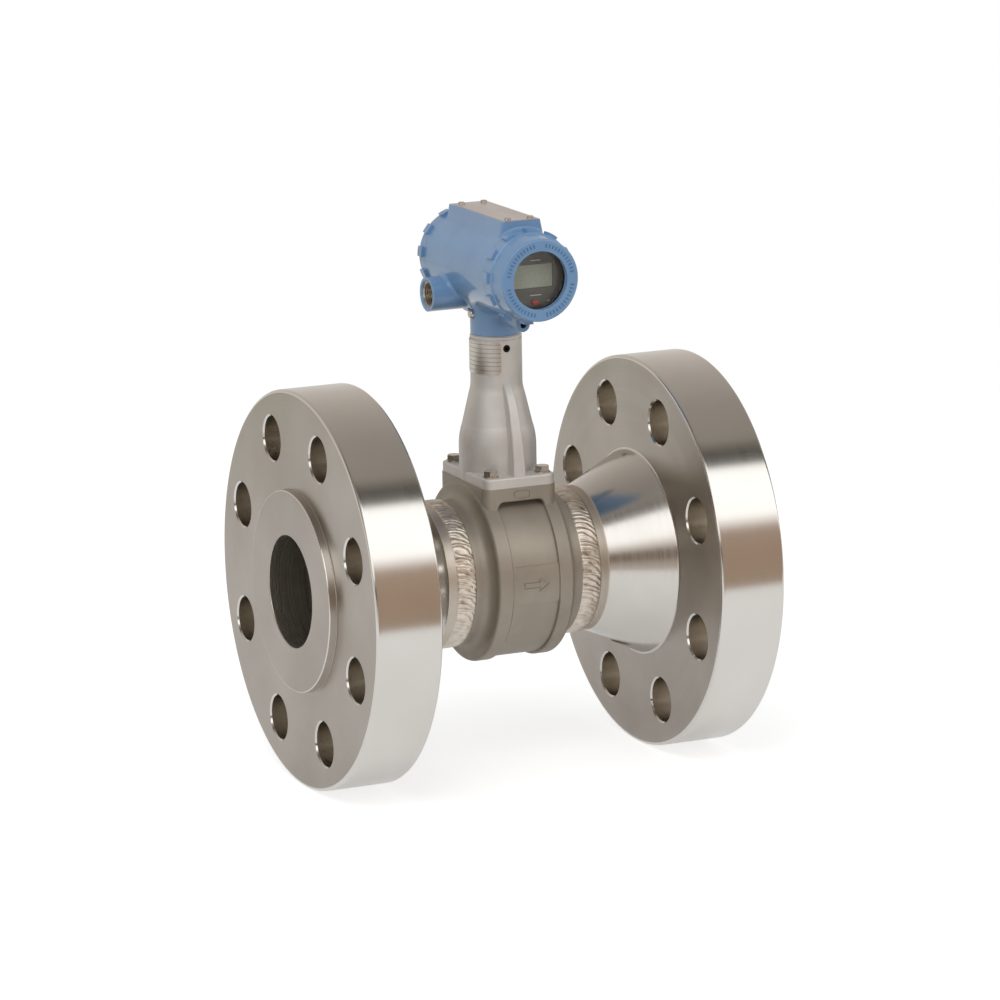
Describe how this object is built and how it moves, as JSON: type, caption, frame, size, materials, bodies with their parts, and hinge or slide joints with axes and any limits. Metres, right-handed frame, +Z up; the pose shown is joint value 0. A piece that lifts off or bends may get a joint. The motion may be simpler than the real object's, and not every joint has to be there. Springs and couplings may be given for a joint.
{
  "type": "vortex flow meter",
  "caption": "Flanged vortex flow meter: heavy weld-neck flanges, cast body with a shedder bar, ribbed support tube and a round display head that turns on it.",
  "frame": {"origin": "centre of the inlet flange's raised face, on the pipe axis", "axes": "+X along the pipe in the direction of flow, +Z up the stem to the head, the display looks towards -Y"},
  "size_m": [0.354, 0.3112, 0.4396],
  "materials": {
    "machined_steel": "fine-turned stainless steel",
    "weld_metal": "rippled weld bead",
    "blasted_body_steel": "bead-blasted casting",
    "blasted_tube_steel": "blasted casting",
    "bright_steel": "bright stainless steel",
    "plate_steel": "satin sheet",
    "blue_enamel": "blue semi-gloss enamel on cast aluminium",
    "black_plastic": "matte",
    "bezel_plastic": "matte",
    "cable_jacket": "matte jacket",
    "seal_rubber": "moulded O-ring",
    "red_plastic": "moulded",
    "lcd_glass": "grey-green display glass",
    "window_glass": "clear polished glass"
  },
  "bodies": {
    "body": {"inlet_flange": "machined_steel", "outlet_flange": "machined_steel", "inlet_weld": "weld_metal", "outlet_weld": "weld_metal", "meter_body": "blasted_body_steel", "shedder_bar": "machined_steel", "sensor": "bright_steel", "sensor_nut": "bright_steel", "sensor_cable": "cable_jacket", "sensor_connector": "black_plastic", "support_tube": "blasted_tube_steel", "support_tube_bolts": "bright_steel", "support_tube_washers": "bright_steel", "tube_tag": "plate_steel", "tube_lock_screws": "bright_steel"},
    "head": {"electronics_housing": "blue_enamel", "neck_seal": "seal_rubber", "nameplate": "plate_steel", "nameplate_screws": "bright_steel", "electronics_module": "black_plastic", "display_bezel": "bezel_plastic", "lcd_panel": "lcd_glass", "display_screws": "bright_steel", "security_jumper": "red_plastic", "terminal_block": "black_plastic", "terminal_screws": "bright_steel", "internal_ground_screw": "bright_steel", "external_ground_screw": "bright_steel", "cover_lock_screws": "bright_steel"},
    "front_seal": {"front_cover_seal": "seal_rubber"},
    "front_cover": {"front_cover": "blue_enamel", "window_glass": "window_glass", "window_retainer": "bright_steel"},
    "rear_seal": {"rear_cover_seal": "seal_rubber"},
    "rear_cover": {"rear_cover": "blue_enamel"}
  },
  "joints": [
    {"name": "head_turn", "type": "hinge", "parent": "body", "child": "head", "pos_m": [0.177, 0, 0.1872], "axis": [0, 0, 1], "range_deg": [-180, 180]},
    {"name": "front_cover_travel", "type": "slide", "parent": "head", "child": "front_seal", "axis": [0, -1, 0], "range_m": [0, 0.012]},
    {"name": "front_cover_turn", "type": "hinge", "parent": "front_seal", "child": "front_cover", "pos_m": [0.177, -0.07, 0.2402], "axis": [0, -1, 0], "range_deg": [0, 2880]},
    {"name": "rear_cover_travel", "type": "slide", "parent": "head", "child": "rear_seal", "axis": [0, 1, 0], "range_m": [0, 0.0075]},
    {"name": "rear_cover_turn", "type": "hinge", "parent": "rear_seal", "child": "rear_cover", "pos_m": [0.177, 0.062, 0.2402], "axis": [0, 1, 0], "range_deg": [0, 1800]}
  ],
  "couplings": [
    {"joint": "front_cover_travel", "follows": "front_cover_turn", "m_per_rad": 0.00023873},
    {"joint": "rear_cover_travel", "follows": "rear_cover_turn", "m_per_rad": 0.00023873}
  ]
}
